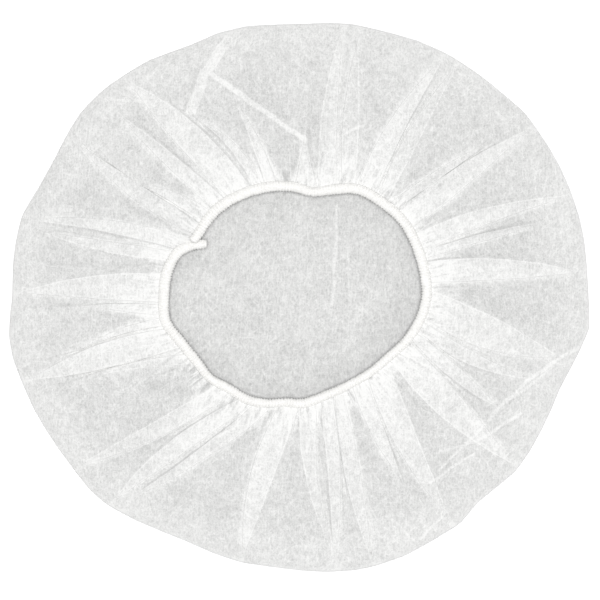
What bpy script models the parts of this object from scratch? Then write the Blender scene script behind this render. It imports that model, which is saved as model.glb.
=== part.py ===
"""Bouffant cap of thin nonwoven, lying flat on its back layer with the gathered mouth up.

The crown is one thin-walled bag: a flat back layer, a soft outer turn, and a pleated front layer
that rises to the mouth. The elastic band is one hem strip round the mouth with overlapping ends.
Metres, +Z up. Directions are in degrees about +Z, from +X towards +Y.
"""

from collections import namedtuple
from math import atan2, ceil, cos, degrees, exp, pi, radians, sin, sqrt

import bmesh
import bpy
from mathutils import Matrix, Vector

MM = 0.001

# Crown: wall, soft outer turn, and how the front layer rises from it to the mouth
WALL = 1.2 * MM
TURN_HEIGHT = 8.5 * MM
TURN_DEPTH = 5.5 * MM
TIP_PINCH = 2.2 * MM
TIP_PINCH_SPREAD_DEG = 4.0
FRONT_BILLOW = 1.5 * MM

# Pleats: their crest, the slopes on their two sides, and the dished flats between them
FOLD_HEIGHT = 2.2 * MM
SOFT_CREST_SHARE = 0.7
CREST_HALF_WIDTH = 0.9 * MM
CREST_STEP_DEG = 4.5
STEEP_FOOT = 0.8 * MM
GENTLE_FOOT = 3.6 * MM
FLAT_DISH = 0.9 * MM
FLAT_STEP = 17.0 * MM

# Small gathers that fade out from the mouth
GATHER_HEIGHT = 0.8 * MM
GATHER_REACH = 0.3

# Band: an oval hem, and the gap that the crown keeps to it
BAND_HEIGHT = 4.4 * MM
BAND_SIDES = 8
BAND_STEP = 5.2 * MM
SEAT_GAP = 0.4 * MM

# Shares of the way out from the mouth at which the front layer has a row of points
FRONT_SHARES = (0.0, 0.06, 0.15, 0.28, 0.43, 0.6, 0.78, 0.92, 1.0)
# Angles round the outer turn, from the front layer down to the back layer
TURN_ANGLES_DEG = (35.0, -10.0, -90.0)

CROWN_COLOR = (0.86, 0.86, 0.85, 1.0)
BAND_COLOR = (0.92, 0.915, 0.89, 1.0)

# The outer fold edge seen from above: its reach from the middle of the cap in each direction
OutlineRow = namedtuple("OutlineRow", "deg reach_mm")
OUTLINE = (
    OutlineRow(0, 173.7),
    OutlineRow(9, 174.2),
    OutlineRow(21, 175.3),
    OutlineRow(30, 174.9),
    OutlineRow(39, 175.0),
    OutlineRow(46, 172.6),
    OutlineRow(60, 171.2),
    OutlineRow(72, 167.8),
    OutlineRow(80, 167.3),
    OutlineRow(88, 164.6),
    OutlineRow(94, 164.4),
    OutlineRow(104, 166.5),
    OutlineRow(114, 165.2),
    OutlineRow(124, 169.3),
    OutlineRow(138, 172.2),
    OutlineRow(147, 170.3),
    OutlineRow(151, 169.2),
    OutlineRow(156, 169.4),
    OutlineRow(163, 174.0),
    OutlineRow(168, 173.9),
    OutlineRow(180, 173.1),
    OutlineRow(189, 176.4),
    OutlineRow(200, 173.9),
    OutlineRow(212, 171.0),
    OutlineRow(226, 170.6),
    OutlineRow(238, 163.8),
    OutlineRow(246, 161.5),
    OutlineRow(257, 163.3),
    OutlineRow(266, 162.9),
    OutlineRow(278, 166.7),
    OutlineRow(288, 168.1),
    OutlineRow(300, 166.5),
    OutlineRow(306, 166.7),
    OutlineRow(312, 162.9),
    OutlineRow(321, 166.8),
    OutlineRow(332, 165.7),
    OutlineRow(341, 166.0),
    OutlineRow(347, 169.8),
    OutlineRow(354, 175.2),
)

# The band's middle line: from the end that sticks into the mouth, once round anticlockwise, to
# the end that lies on top of the start
BandRow = namedtuple("BandRow", "deg reach_mm lift_mm width_mm")
BAND = (
    BandRow(149.8, 63.5, 12.9, 5.4),
    BandRow(152, 67.5, 12.9, 5.8),
    BandRow(154.5, 71.6, 12.8, 6.0),
    BandRow(160, 77.5, 12.8, 6.2),
    BandRow(170, 80.5, 12.9, 6.4),
    BandRow(180, 81.0, 13.0, 6.4),
    BandRow(190, 81.2, 13.2, 6.2),
    BandRow(201, 75.6, 13.4, 6.0),
    BandRow(212, 72.4, 13.5, 5.8),
    BandRow(222, 72.0, 13.5, 5.0),
    BandRow(232, 69.0, 13.5, 5.4),
    BandRow(243, 68.6, 13.5, 5.6),
    BandRow(252, 66.6, 13.5, 5.2),
    BandRow(262, 63.4, 13.6, 5.0),
    BandRow(272, 63.4, 13.9, 5.6),
    BandRow(285, 60.6, 14.4, 5.2),
    BandRow(300, 60.0, 15.0, 5.0),
    BandRow(313, 61.6, 15.6, 5.0),
    BandRow(326, 64.0, 16.0, 5.2),
    BandRow(337, 68.4, 15.8, 5.4),
    BandRow(348, 72.6, 15.3, 5.8),
    BandRow(360, 75.8, 14.8, 6.0),
    BandRow(370, 76.0, 14.6, 6.2),
    BandRow(380, 76.2, 14.4, 6.2),
    BandRow(397, 76.6, 14.2, 6.0),
    BandRow(410, 74.8, 14.1, 6.0),
    BandRow(422, 73.0, 14.1, 6.2),
    BandRow(433, 67.0, 14.4, 6.0),
    BandRow(443, 63.2, 14.7, 5.4),
    BandRow(452, 65.6, 14.4, 5.8),
    BandRow(465, 68.2, 13.9, 6.2),
    BandRow(480, 70.4, 13.7, 6.2),
    BandRow(492, 71.8, 14.3, 6.4),
    BandRow(501, 71.6, 16.0, 6.2),
    BandRow(507, 71.0, 17.8, 5.8),
    BandRow(513, 71.8, 18.0, 5.4),
)
# The rows that go once round without the overlapping ends
LOOP_ROWS = BAND[2:-2]

# The pleats of the front layer. A pleat starts as a point at its tip, a share of the way out
# from the mouth, and widens to the stretch between clockwise_deg and anticlockwise_deg at the
# mouth. Each of its two creases bows sideways, anticlockwise where the bow is positive. The
# pleat's steep side is the anticlockwise one where lap is 1, and the clockwise one at -1.
FoldRow = namedtuple(
    "FoldRow",
    "tip_deg tip_share clockwise_deg anticlockwise_deg clockwise_bow_mm anticlockwise_bow_mm lap",
)
FOLDS = (
    FoldRow(5.1, 0.98, 6.6, 15, -1, 4.5, -1),
    FoldRow(20.8, 0.98, 18, 28, 0.5, 4.5, -1),
    FoldRow(36.1, 0.98, 31, 40.5, -1, 3.5, -1),
    FoldRow(39.6, 0.71, 43, 46, -0.5, 2, 1),
    FoldRow(56, 0.98, 48.3, 52, -0.5, 4, 1),
    FoldRow(59.2, 0.98, 54.2, 62.2, 1.5, 5.5, 1),
    FoldRow(77.2, 0.92, 64, 68.5, -2, 3.5, 1),
    FoldRow(80.8, 0.98, 71.6, 79, 1, 4.5, -1),
    FoldRow(88.2, 0.29, 81.5, 92, 0, 0, 1),
    FoldRow(107.6, 0.55, 101.5, 106, -2, -0.5, -1),
    FoldRow(128.3, 0.98, 114.8, 125, -7, 2.5, 1),
    FoldRow(134.8, 0.85, 128.1, 133, -1.5, 2, 1),
    FoldRow(144.5, 0.47, 136, 141.5, -3, -1, -1),
    FoldRow(145.5, 0.93, 144.5, 149, 0, 5.5, 1),
    FoldRow(163.7, 0.98, 151.5, 163.5, -5, 3, -1),
    FoldRow(179, 0.97, 171, 182, -4, 0.5, 1),
    FoldRow(182.6, 0.47, 184, 187.5, -1, 0.5, 1),
    FoldRow(196.9, 0.98, 191, 202, -5, 3, -1),
    FoldRow(217.7, 0.98, 227.4, 235, 0, 4.5, 1),
    FoldRow(227.8, 0.98, 240.5, 250, -6.5, 2.5, 1),
    FoldRow(257.5, 0.98, 259.5, 269, -6.5, 0.5, -1),
    FoldRow(276.8, 0.85, 270.7, 279.8, -5, -3.8, 1),
    FoldRow(277.7, 0.98, 282, 288.4, 1, 3.8, 1),
    FoldRow(285.6, 0.97, 291, 294.5, -4.5, 2, 1),
    FoldRow(299.1, 0.61, 301, 308, -3, 0.5, -1),
    FoldRow(304.1, 0.94, 310.8, 323, -5.5, 0.5, -1),
    FoldRow(322.2, 0.98, 326.5, 338, -6, 2.5, 1),
    FoldRow(331.3, 0.72, 340.5, 343, -3.5, 2, 1),
    FoldRow(340.5, 0.8, 345.4, 349, -6, -1.5, 1),
    FoldRow(346.9, 0.93, 351.3, 362.5, -7.5, 2.5, -1),
)


def lerp(start, end, share):
    return start + (end - start) * share


def smooth(share):
    share = min(max(share, 0.0), 1.0)
    return share * share * (3.0 - 2.0 * share)


def direction(deg):
    return Vector((cos(radians(deg)), sin(radians(deg))))


def curve_value(keys, values, at):
    """The value at one place on the smooth curve through (key, value) points with rising keys."""
    index = max(i for i in range(len(keys) - 1) if i == 0 or keys[i] <= at)
    step = keys[index + 1] - keys[index]
    share = (at - keys[index]) / step

    def slope(i):
        low, high = max(i - 1, 0), min(i + 1, len(keys) - 1)
        return (values[high] - values[low]) / (keys[high] - keys[low])

    square, cube = share**2, share**3
    return (
        values[index] * (2 * cube - 3 * square + 1)
        + slope(index) * step * (cube - 2 * square + share)
        + values[index + 1] * (3 * square - 2 * cube)
        + slope(index + 1) * step * (cube - square)
    )


def closed_curve(rows, column):
    """A column of rows that go once round, as a function of the direction."""
    keys = [row.deg for row in rows]
    values = [getattr(row, column) * MM for row in rows]
    first = keys[0]
    keys = [keys[-2] - 360, keys[-1] - 360, *keys, keys[0] + 360, keys[1] + 360]
    values = [*values[-2:], *values, *values[:2]]
    return lambda deg: curve_value(keys, values, first + (deg - first) % 360)


edge_reach = closed_curve(OUTLINE, "reach_mm")
mouth_lift = closed_curve(LOOP_ROWS, "lift_mm")


def band_route():
    """(place, width) along the band's middle line at even steps."""
    keys = [row.deg for row in BAND]
    columns = {name: [getattr(row, name) * MM for row in BAND] for name in BandRow._fields[1:]}
    fine = []
    for low, high in zip(keys, keys[1:]):
        for k in range(8):
            at = lerp(low, high, k / 8)
            reach, lift, width = (curve_value(keys, column, at) for column in columns.values())
            fine.append(((direction(at) * reach).to_3d() + Vector((0, 0, lift)), width))
    end = BAND[-1]
    fine.append(
        ((direction(end.deg) * end.reach_mm * MM).to_3d() + Vector((0, 0, end.lift_mm * MM)),
         end.width_mm * MM)
    )
    lengths = [0.0]
    for (place, _), (next_place, _) in zip(fine, fine[1:]):
        lengths.append(lengths[-1] + (next_place - place).length)
    count = ceil(lengths[-1] / BAND_STEP)
    route = []
    for i in range(count + 1):
        at = lengths[-1] * i / count
        k = max(j for j in range(len(lengths) - 1) if j == 0 or lengths[j] <= at)
        share = (at - lengths[k]) / (lengths[k + 1] - lengths[k])
        route.append((fine[k][0].lerp(fine[k + 1][0], share), lerp(fine[k][1], fine[k + 1][1], share)))
    return route


ROUTE = band_route()


def reach_past_band(deg):
    """Where the crown's rim lies in this direction: just outside the band."""
    along = direction(deg)
    reach = 0.0
    for (place, width), (next_place, _) in zip(ROUTE, ROUTE[1:]):
        clear = width / 2 + SEAT_GAP
        for share in (0.0, 0.25, 0.5, 0.75):
            point = place.lerp(next_place, share).to_2d()
            aside = abs(along.cross(point))
            if aside < clear and along.dot(point) > 0:
                reach = max(reach, along.dot(point) + sqrt(clear**2 - aside**2))
    return reach


RIM_TABLE = [reach_past_band(deg) for deg in range(360)]


def rim_reach(deg):
    low = int(deg // 1)
    return lerp(RIM_TABLE[low % 360], RIM_TABLE[(low + 1) % 360], deg - low)


def turn_height(deg):
    """Height of the soft outer turn, pinched lower where a pleat's tip runs into it."""
    pinch = 0.0
    for row in FOLDS:
        away = (deg - row.tip_deg + 180) % 360 - 180
        pinch = max(pinch, row.tip_share**4 * exp(-((away / TIP_PINCH_SPREAD_DEG) ** 2)))
    return TURN_HEIGHT - TIP_PINCH * pinch


def front_reach(deg, share):
    return lerp(rim_reach(deg), edge_reach(deg) - TURN_DEPTH, share)


def front_height(deg, share):
    """Height of the front layer's outer face, without its pleats."""
    start = mouth_lift(deg) + WALL / 2
    return lerp(start, turn_height(deg), share) + FRONT_BILLOW * sin(pi * share)


def crease_deg(row, mouth_deg, bow_mm, share):
    """Direction of a bowed crease from the mouth to the pleat's tip, a share of the way out."""
    if share >= row.tip_share:
        return row.tip_deg
    start = direction(mouth_deg) * front_reach(mouth_deg, 0)
    tip = direction(row.tip_deg) * front_reach(row.tip_deg, row.tip_share)
    along = share / row.tip_share
    aside = Vector((start.y - tip.y, tip.x - start.x)).normalized()
    point = start.lerp(tip, along) + aside * bow_mm * MM * 4 * along * (1 - along)
    deg = degrees(atan2(point.y, point.x))
    return deg + 360 * round((mouth_deg - deg) / 360)


def crest(row, share):
    """(clockwise direction, anticlockwise direction) of a pleat's crest."""
    low = crease_deg(row, row.clockwise_deg, row.clockwise_bow_mm, share)
    high = crease_deg(row, row.anticlockwise_deg, row.anticlockwise_bow_mm, share)
    middle = (low + high) / 2
    half = max((high - low) / 2, degrees(CREST_HALF_WIDTH / front_reach(middle, share)))
    return middle - half, middle + half


def fold_rise(row, share):
    along = share / row.tip_share
    if along >= 1:
        return 0.0
    return FOLD_HEIGHT * sqrt(1 - along) * lerp(0.5, 1.0, smooth(along / 0.25))


def crest_count(row):
    """How many columns of points lie on a pleat between its two creases."""
    return round((row.anticlockwise_deg - row.clockwise_deg) / CREST_STEP_DEG)


def flat_count(row, next_row):
    """How many columns of points the flat between two pleats has."""
    gap = radians((next_row.tip_deg - row.tip_deg) % 360) * edge_reach(row.tip_deg)
    return max(1, round(gap / FLAT_STEP) - 1)


def front_columns(share):
    """(direction, rise over the front layer) of each column of points in one row."""
    columns = []
    for i, row in enumerate(FOLDS):
        next_row = FOLDS[(i + 1) % len(FOLDS)]
        low, high = crest(row, share)
        next_low = crest(next_row, share)[0]
        next_low += 360 * round((high - next_low) / 360)
        last_high = crest(FOLDS[i - 1], share)[1]
        last_high += 360 * round((low - last_high) / 360)
        per_metre = degrees(1 / front_reach(low, share))
        feet = (STEEP_FOOT, GENTLE_FOOT) if row.lap < 0 else (GENTLE_FOOT, STEEP_FOOT)
        foot_low = low - min(feet[0] * per_metre, 0.3 * (low - last_high))
        foot_high = high + min(feet[1] * per_metre, 0.3 * (next_low - high))
        next_feet = STEEP_FOOT if next_row.lap < 0 else GENTLE_FOOT
        flat_end = next_low - min(next_feet * per_metre, 0.3 * (next_low - high))
        rise = fold_rise(row, share)
        rises = (1.0, SOFT_CREST_SHARE) if row.lap < 0 else (SOFT_CREST_SHARE, 1.0)
        columns.append((foot_low, 0.0))
        steps = crest_count(row) + 1
        for k in range(steps + 1):
            columns.append((lerp(low, high, k / steps), rise * lerp(*rises, k / steps)))
        columns.append((foot_high, 0.0))
        count = flat_count(row, next_row)
        gather = GATHER_HEIGHT * max(0.0, 1 - share / GATHER_REACH)
        for k in range(1, count + 1):
            across = k / (count + 1)
            dish = FLAT_DISH * sin(pi * across) * sin(pi * share)
            ripple = gather if k % 2 else -gather
            columns.append((lerp(foot_high, flat_end, across), ripple - dish))
    return columns


def add_row(bm, points):
    return [bm.verts.new(point) for point in points]


def bridge(bm, row, next_row):
    """Quads between two closed rows of the same length."""
    for i in range(len(row)):
        j = (i + 1) % len(row)
        bm.faces.new((row[i], row[j], next_row[j], next_row[i]))


def crown_rows(bm, inset):
    """Rows of points from the mouth over the front layer and round the turn to the back layer.

    inset is 0 for the outer face of the cloth, and the wall for its inner face.
    """
    rows = []
    for share in FRONT_SHARES:
        points = []
        for deg, rise in front_columns(share):
            place = (direction(deg) * front_reach(deg, share)).to_3d()
            place.z = front_height(deg, share) + rise - inset
            points.append(place)
        rows.append(add_row(bm, points))
    for angle in TURN_ANGLES_DEG:
        points = []
        for deg, _ in front_columns(1.0):
            depth = (TURN_DEPTH - inset) * cos(radians(angle))
            half = turn_height(deg) / 2
            place = (direction(deg) * (front_reach(deg, 1.0) + depth)).to_3d()
            place.z = half + (half - inset) * sin(radians(angle))
            points.append(place)
        rows.append(add_row(bm, points))
    return rows


def make_crown(bm):
    outer = crown_rows(bm, 0.0)
    inner = crown_rows(bm, WALL)
    for rows in (outer, inner):
        for row, next_row in zip(rows, rows[1:]):
            bridge(bm, row, next_row)
        bm.faces.new(rows[-1])
    bridge(bm, outer[0], inner[0])


def make_band(bm):
    """An oval hem swept along the route, with its two ends closed."""
    rings = []
    for i, (place, width) in enumerate(ROUTE):
        before = ROUTE[max(i - 1, 0)][0]
        after = ROUTE[min(i + 1, len(ROUTE) - 1)][0]
        along = (after - before).normalized()
        side = along.cross(Vector((0, 0, 1))).normalized()
        up = side.cross(along)
        ring = []
        for k in range(BAND_SIDES):
            turn = 2 * pi * (k + 0.5) / BAND_SIDES
            ring.append(place + side * cos(turn) * width / 2 + up * sin(turn) * BAND_HEIGHT / 2)
        rings.append(add_row(bm, ring))
    for ring, next_ring in zip(rings, rings[1:]):
        bridge(bm, ring, next_ring)
    bm.faces.new(rings[0])
    bm.faces.new(rings[-1])


def make_material(name, color, roughness):
    material = bpy.data.materials.new(name)
    material.use_nodes = True
    shader = material.node_tree.nodes["Principled BSDF"]
    shader.inputs["Base Color"].default_value = color
    shader.inputs["Roughness"].default_value = roughness
    shader.inputs["Metallic"].default_value = 0.0
    return material


def make_object(name, fill, material, sharp_deg):
    bm = bmesh.new()
    fill(bm)
    bmesh.ops.recalc_face_normals(bm, faces=bm.faces)
    mesh = bpy.data.meshes.new(name)
    bm.to_mesh(mesh)
    bm.free()
    mesh.shade_smooth()
    mesh.set_sharp_from_angle(angle=radians(sharp_deg))
    mesh.materials.append(material)
    obj = bpy.data.objects.new(name, mesh)
    bpy.context.scene.collection.objects.link(obj)
    return obj


def centre_over_origin(objects):
    """Moves the meshes so that the middle of the whole cap's box is over the origin."""
    places = [vertex.co for obj in objects for vertex in obj.data.vertices]
    middle = [(min(p[axis] for p in places) + max(p[axis] for p in places)) / 2 for axis in (0, 1)]
    for obj in objects:
        obj.data.transform(Matrix.Translation((-middle[0], -middle[1], 0.0)))


def main():
    for obj in list(bpy.data.objects):
        bpy.data.objects.remove(obj, do_unlink=True)
    crown = make_object("crown", make_crown, make_material("nonwoven", CROWN_COLOR, 0.85), 35)
    band = make_object("elastic_band", make_band, make_material("hem", BAND_COLOR, 0.8), 50)
    centre_over_origin([crown, band])


main()
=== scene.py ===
# %% [markdown]
# # A bouffant cap of thin nonwoven
#
# The real cap is one round sheet of spunbond web. Its rim is rolled over an elastic and
# overlocked, and the elastic pulls it in, so the sheet folds over into a flat bag with a
# pleated front. Here it lies on its back layer with the mouth up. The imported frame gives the
# outline and the sizes, and this lesson adds the cloth, the hem, the thread and the light.

from collections import namedtuple
from math import cos, pi, radians, sin

import bpy
import numpy as np
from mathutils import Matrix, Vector, noise


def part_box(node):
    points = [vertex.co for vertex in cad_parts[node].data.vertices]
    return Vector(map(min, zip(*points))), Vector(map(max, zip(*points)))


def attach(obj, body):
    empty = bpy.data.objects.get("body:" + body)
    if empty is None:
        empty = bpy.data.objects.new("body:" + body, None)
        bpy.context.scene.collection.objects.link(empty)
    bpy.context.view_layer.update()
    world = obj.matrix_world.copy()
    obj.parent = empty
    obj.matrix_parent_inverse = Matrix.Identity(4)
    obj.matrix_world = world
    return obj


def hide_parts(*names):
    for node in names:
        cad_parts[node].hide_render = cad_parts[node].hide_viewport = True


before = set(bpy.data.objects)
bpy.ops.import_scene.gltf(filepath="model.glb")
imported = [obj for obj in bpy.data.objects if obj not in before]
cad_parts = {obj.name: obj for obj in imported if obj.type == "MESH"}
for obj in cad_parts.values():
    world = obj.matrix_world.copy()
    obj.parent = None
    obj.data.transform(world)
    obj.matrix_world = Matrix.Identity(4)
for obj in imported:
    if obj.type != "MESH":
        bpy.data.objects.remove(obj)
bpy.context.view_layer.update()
MM = 0.001


# %% [markdown]
# ## Small helpers
#
# Three shapes of number come back all through the cap: a soft step from 0 to 1, a smooth curve
# through a table's rows, and unit vectors for directions in degrees. They work on whole
# arrays, because the sheet has tens of thousands of points.

# %% Helpers for numbers
def smooth(share):
    """A soft step: 0 up to share 0, 1 from share 1."""
    share = np.clip(share, 0, 1)
    return share * share * (3 - 2 * share)


def lerp(start, end, share):
    return start + (end - start) * share


def along(deg):
    """Unit vectors in the given directions."""
    turn = np.radians(deg)
    return np.stack([np.cos(turn), np.sin(turn)], -1)


def curve(keys, values, at):
    """The smooth curve through (key, value) points with rising keys, at an array of places."""
    keys, values, at = (np.asarray(v, float) for v in (keys, values, at))
    ends = np.arange(len(keys))
    before, after = np.maximum(ends - 1, 0), np.minimum(ends + 1, len(keys) - 1)
    slopes = (values[after] - values[before]) / (keys[after] - keys[before])
    i = np.clip(np.searchsorted(keys, at, "right") - 1, 0, len(keys) - 2)
    step = keys[i + 1] - keys[i]
    s = (at - keys[i]) / step
    return (
        values[i] * (2 * s**3 - 3 * s**2 + 1)
        + slopes[i] * step * (s**3 - 2 * s**2 + s)
        + values[i + 1] * (3 * s**2 - 2 * s**3)
        + slopes[i + 1] * step * (s**3 - s**2)
    )


def round_curve(rows, column):
    """A column of rows that go once round, as a function of the direction, in metres."""
    keys = [row.deg for row in rows]
    values = [getattr(row, column) * MM for row in rows]
    first = keys[0]
    keys = [keys[-2] - 360, keys[-1] - 360, *keys, keys[0] + 360, keys[1] + 360]
    values = [*values[-2:], *values, *values[:2]]
    return lambda deg: curve(keys, values, first + (np.asarray(deg, float) - first) % 360)


print("soft step at a quarter:", float(smooth(0.25)))

# %% [markdown]
# ## Where the hem runs
#
# The hem is a strip that goes round the mouth and overlaps itself. Its route is a list of
# directions with the reach, the height and the width of the hem there. The reaches follow
# points read off a photo, and the heights and widths are judged. It starts at the end
# that sticks into the mouth and finishes on top of that start, as a seam does where the sewer
# overruns the first stitches. The cloth and the thread are both worked out from this route, and
# its box is laid over the band's box in the frame, which finds the centre.

# %% The hem's route
HemRow = namedtuple("HemRow", "deg reach_mm lift_mm width_mm")
HEM = (
    HemRow(149.8, 63.5, 12.9, 5.4),
    HemRow(152, 67.5, 12.9, 5.8),
    HemRow(154.5, 71.6, 12.8, 6.0),
    HemRow(160, 77.5, 12.8, 6.2),
    HemRow(170, 80.5, 12.9, 6.4),
    HemRow(180, 81.0, 13.0, 6.4),
    HemRow(190, 81.2, 13.2, 6.2),
    HemRow(201, 75.6, 13.4, 6.0),
    HemRow(212, 72.4, 13.5, 5.8),
    HemRow(222, 72.0, 13.5, 5.0),
    HemRow(232, 69.0, 13.5, 5.4),
    HemRow(243, 68.6, 13.5, 5.6),
    HemRow(252, 66.6, 13.5, 5.2),
    HemRow(262, 63.4, 13.6, 5.0),
    HemRow(272, 63.4, 13.9, 5.6),
    HemRow(285, 60.6, 14.4, 5.2),
    HemRow(300, 60.0, 15.0, 5.0),
    HemRow(313, 61.6, 15.6, 5.0),
    HemRow(326, 64.0, 16.0, 5.2),
    HemRow(337, 68.4, 15.8, 5.4),
    HemRow(348, 72.6, 15.3, 5.8),
    HemRow(360, 75.8, 14.8, 6.0),
    HemRow(370, 76.0, 14.6, 6.2),
    HemRow(380, 76.2, 14.4, 6.2),
    HemRow(397, 76.6, 14.2, 6.0),
    HemRow(410, 74.8, 14.1, 6.0),
    HemRow(422, 73.0, 14.1, 6.2),
    HemRow(433, 67.0, 14.4, 6.0),
    HemRow(443, 63.2, 14.7, 5.4),
    HemRow(452, 65.6, 14.4, 5.8),
    HemRow(465, 68.2, 13.9, 6.2),
    HemRow(480, 70.4, 13.7, 6.2),
    HemRow(492, 71.8, 14.3, 6.4),
    HemRow(501, 71.6, 16.0, 6.2),
    HemRow(507, 71.0, 17.8, 5.8),
    HemRow(513, 71.8, 18.0, 5.4),
)
HEM_HEIGHT = 4.4 * MM


def hem_line(count):
    """(places, widths, lengths from the start) at evenly spaced points of the hem's middle line."""
    keys = [row.deg for row in HEM]
    fine = np.linspace(keys[0], keys[-1], 20 * count)
    reach, lift, width = (
        curve(keys, [getattr(row, name) * MM for row in HEM], fine) for name in HemRow._fields[1:]
    )
    places = np.column_stack([along(fine) * reach[:, None], lift])
    lengths = np.concatenate([[0], np.cumsum(np.linalg.norm(np.diff(places, axis=0), axis=1))])
    at = np.linspace(0, lengths[-1], count)
    even = np.column_stack([np.interp(at, lengths, places[:, axis]) for axis in range(3)])
    return even, np.interp(at, lengths, width), at


def find_centre():
    """Where the routes' centre lies in the frame, from the box of the frame's band."""
    low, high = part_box("elastic_band")
    places, _, _ = hem_line(600)
    middle = (places.min(axis=0) + places.max(axis=0)) / 2
    return Vector(((low[0] + high[0]) / 2 - middle[0], (low[1] + high[1]) / 2 - middle[1]))


CENTRE = find_centre()
RIM_ROWS = HEM[2:-1]
mouth_reach = round_curve(RIM_ROWS, "reach_mm")
mouth_lift = round_curve(RIM_ROWS, "lift_mm")
print("centre in mm:", [round(v / MM, 2) for v in CENTRE])
print("hem length in mm:", round(float(hem_line(600)[2][-1]) / MM, 1))

# %% [markdown]
# ## The outer fold edge
#
# The outline is the frame's own. A ray is cast at the crown from outside in each direction, a
# little above the floor, so the cloth turns over where the solid does. Reading the outline
# this way keeps one source for it, which a second list of numbers wouldn't.

# %% Read the outline from the frame
RAY_HEIGHT = 4.0 * MM
RAY_START = 0.3


def cast_outline():
    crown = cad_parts["crown"]
    reaches = []
    for deg in range(360):
        out = Vector((cos(radians(deg)), sin(radians(deg)), 0))
        start = Vector((*CENTRE, RAY_HEIGHT)) + out * RAY_START
        hit, place, _, _ = crown.ray_cast(start, -out)
        reaches.append((place.to_2d() - CENTRE).length if hit else np.nan)
    return np.array(reaches)


OUTLINE = cast_outline()


def edge_reach(deg):
    return np.interp(np.asarray(deg, float) % 360, np.arange(361), np.append(OUTLINE, OUTLINE[0]))


print("outline reach in mm:", round(OUTLINE.min() / MM, 1), "to", round(OUTLINE.max() / MM, 1))

# %% [markdown]
# ## The pleats
#
# Each pleat is a knife fold: the sheet runs to a crease, back under itself, and on again, so
# three layers lie there. A pleat is a point at its tip, near the outer edge, and widens towards
# the mouth. A row says where its tip is, which stretch of the mouth it takes up, on which side
# its open edge lies (1 is the anticlockwise one), and how far each of its two creases bows
# sideways, anticlockwise where it is positive. Two bows give a pleat its leaf shape. The
# whiteness says how strongly its layers show, because the cloth isn't equally thick everywhere.

# %% The pleats' table
PleatRow = namedtuple(
    "PleatRow", "tip_deg tip_share low_deg high_deg lap low_bow_mm high_bow_mm whiteness"
)
PLEATS = (
    PleatRow(5.1, 0.98, 6.6, 15, -1, -1, 4.5, 1),
    PleatRow(16.9, 0.78, 17.2, 19.4, -1, 0, 2, 0.8),
    PleatRow(20.8, 0.98, 21, 28, -1, 1, 4.5, 1.1),
    PleatRow(36.1, 0.98, 31, 40.5, -1, -1, 3.5, 1.1),
    PleatRow(39.6, 0.71, 43, 46, 1, -0.5, 2, 0.7),
    PleatRow(56, 0.98, 48.3, 52, 1, -0.5, 4, 0.7),
    PleatRow(59.2, 0.98, 54.2, 62.2, 1, 1.5, 5.5, 1.2),
    PleatRow(77.2, 0.92, 64, 68.5, 1, -2, 3.5, 0.6),
    PleatRow(80.8, 0.98, 71.6, 79, -1, 1, 4.5, 0.8),
    PleatRow(88.2, 0.29, 81.5, 92, 1, 0, 0, 0.5),
    PleatRow(107.6, 0.55, 101.5, 106, -1, -2, -0.5, 1),
    PleatRow(119.6, 0.58, 108.6, 112, -1, -6, -4, 0.6),
    PleatRow(128.3, 0.98, 114.8, 125, 1, -7, 2.5, 1.1),
    PleatRow(134.8, 0.85, 128.1, 133, 1, -1.5, 2, 0.9),
    PleatRow(144.5, 0.47, 136, 141.5, -1, -3, -1, 0.7),
    PleatRow(145.5, 0.93, 144.5, 149, 1, 0, 5.5, 0.8),
    PleatRow(163.7, 0.98, 151.5, 158, -1, -5, -2, 1),
    PleatRow(165.6, 0.85, 160, 163.5, -1, 0, 3, 0.9),
    PleatRow(179, 0.97, 171, 182, 1, -4, 0.5, 1.1),
    PleatRow(182.6, 0.47, 184, 187.5, 1, -1, 0.5, 0.7),
    PleatRow(193.2, 0.61, 188.6, 191.3, -1, -2.5, -2, 0.8),
    PleatRow(196.9, 0.98, 193.5, 202, -1, -5, 3, 1.2),
    PleatRow(200.8, 0.56, 207, 212, -1, -2, -1.5, 0.7),
    PleatRow(217.7, 0.98, 227.4, 235, 1, 0, 4.5, 1),
    PleatRow(227.8, 0.98, 240.5, 246, 1, -6.5, 0.5, 1.2),
    PleatRow(230.4, 0.92, 248, 256, 1, 1.5, 4, 1),
    PleatRow(257.5, 0.98, 259.5, 269, -1, -6.5, 0.5, 1.3),
    PleatRow(276.8, 0.85, 270.7, 279.8, 1, -5, -3.8, 0.8),
    PleatRow(277.7, 0.98, 282, 288.4, 1, 1, 3.8, 0.9),
    PleatRow(285.6, 0.97, 291, 294.5, 1, -4.5, 2, 1),
    PleatRow(299.1, 0.61, 301, 308, -1, -3, 0.5, 1.2),
    PleatRow(304.1, 0.94, 310.8, 323, -1, -5.5, 0.5, 1.1),
    PleatRow(322.2, 0.98, 326.5, 338, 1, -6, 2.5, 1.3),
    PleatRow(331.3, 0.72, 340.5, 343, 1, -3.5, 2, 1),
    PleatRow(340.5, 0.8, 345.4, 349, 1, -6, -1.5, 0.8),
    PleatRow(346.9, 0.93, 351.3, 362.5, -1, -7.5, 2.5, 1),
)
LAPS = np.array([row.lap for row in PLEATS])
TIP_SHARES = np.array([row.tip_share for row in PLEATS])
WHITENESS = np.array([row.whiteness for row in PLEATS])
print("pleats:", len(PLEATS))

# %% [markdown]
# ## Columns of the sheet
#
# The sheet could be a flat disc that a cloth simulation gathers, but then the folds would land
# where they like. It is a grid instead, so that they lie as they do on the real cap. Rows run
# round it, and columns run from the mouth to the outer edge along the creases, so a crease is
# always a line of points and stays crisp. A pleat's columns go over its top, round the open
# crease, back under it, round the hidden crease and on. The columns between two pleats stand
# closer together where the cloth climbs onto the next pleat.

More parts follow.
